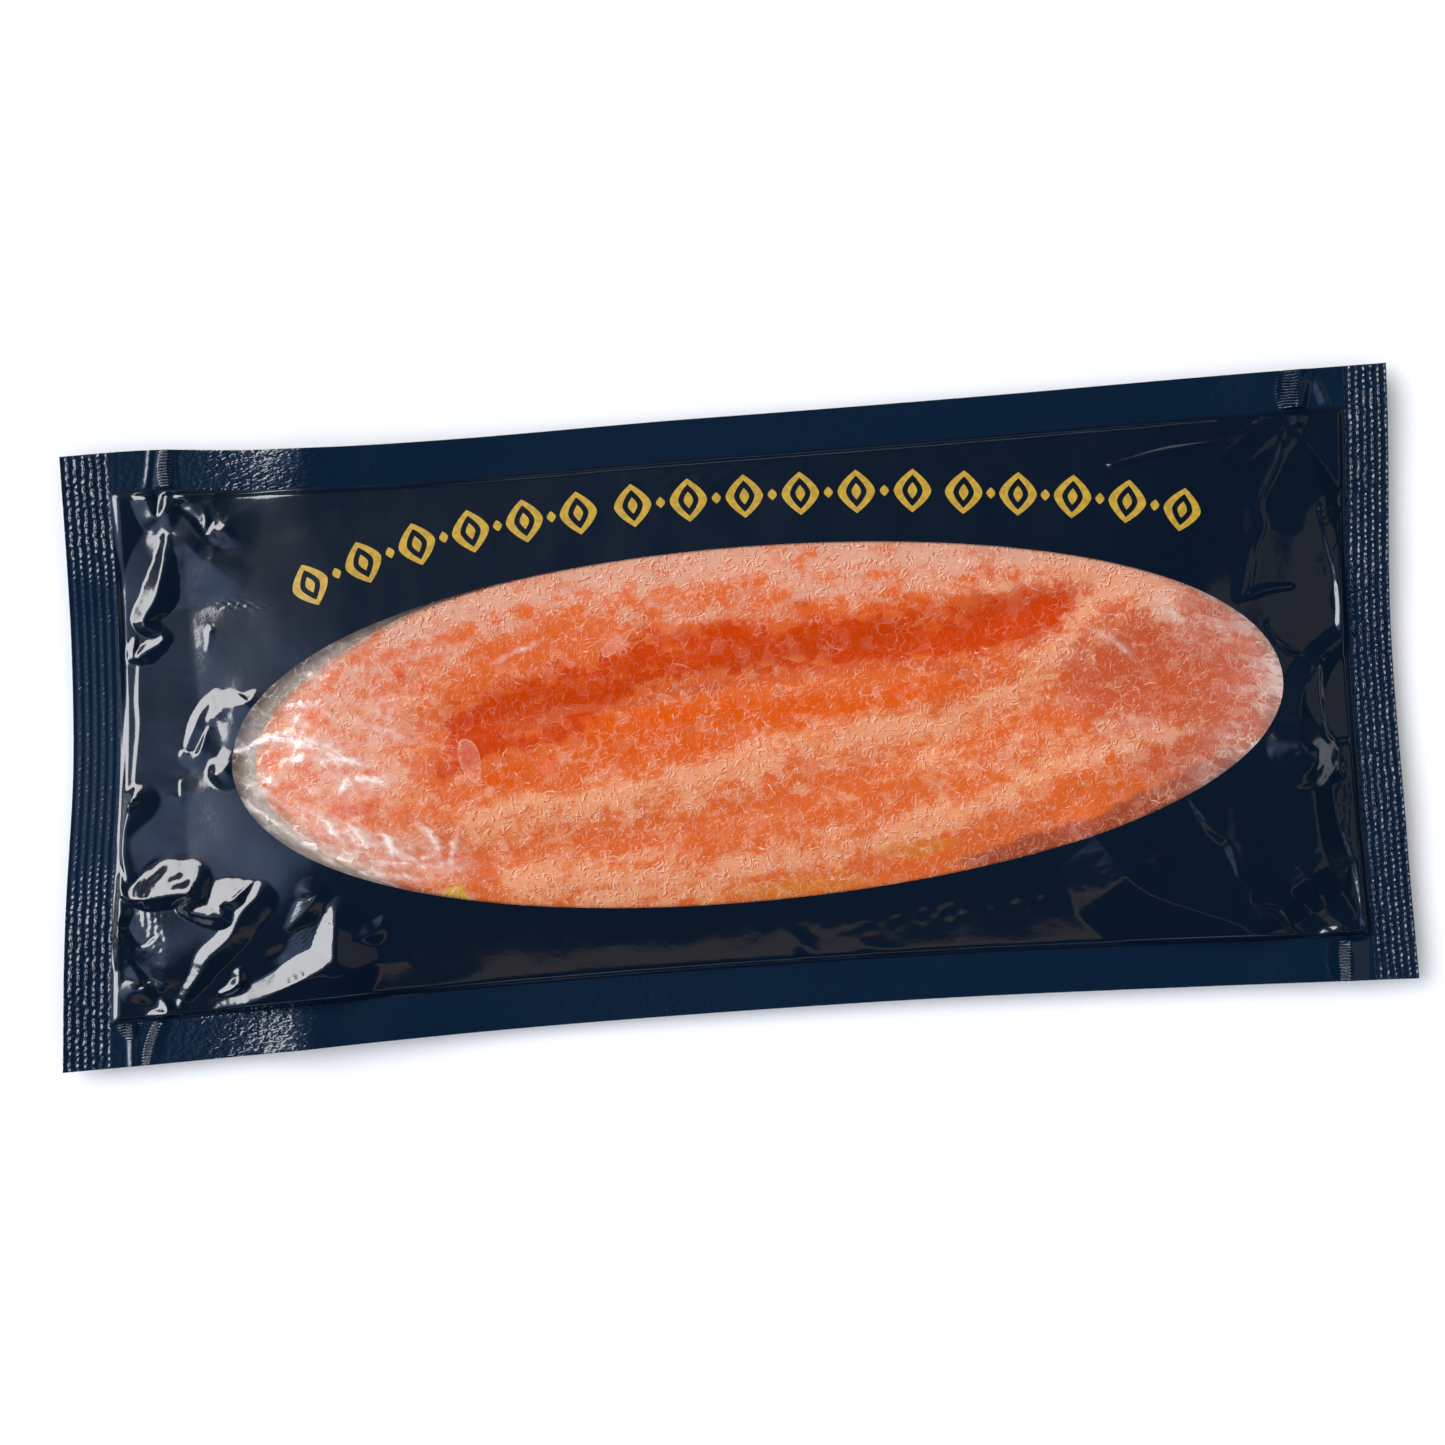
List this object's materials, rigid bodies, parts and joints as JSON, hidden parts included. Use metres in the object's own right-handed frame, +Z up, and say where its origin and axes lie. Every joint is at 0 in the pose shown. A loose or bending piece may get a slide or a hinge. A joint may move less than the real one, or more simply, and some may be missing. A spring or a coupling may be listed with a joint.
{
  "type": "pack of smoked trout",
  "caption": "Flat sealed film pouch with crimped ends and an oval clear window, through which a smoked trout fillet shows.",
  "frame": {"origin": "under the middle of the pack's outline, on the surface that the pack lies on", "axes": "+X along the pack's length, towards the end with the narrower crimped seal; +Y across the pack; +Z up, out of the side with the window"},
  "size_m": [0.2864, 0.1289, 0.0156],
  "materials": {
    "printed_film": "glossy navy printed film",
    "clear_film": "clear glossy film, finely creased",
    "trout_flesh": "moist orange-pink fish flesh"
  },
  "bodies": {
    "root": {"pouch": "printed_film", "clear_window": "clear_film", "trout_fillet": "trout_flesh"}
  },
  "joints": []
}
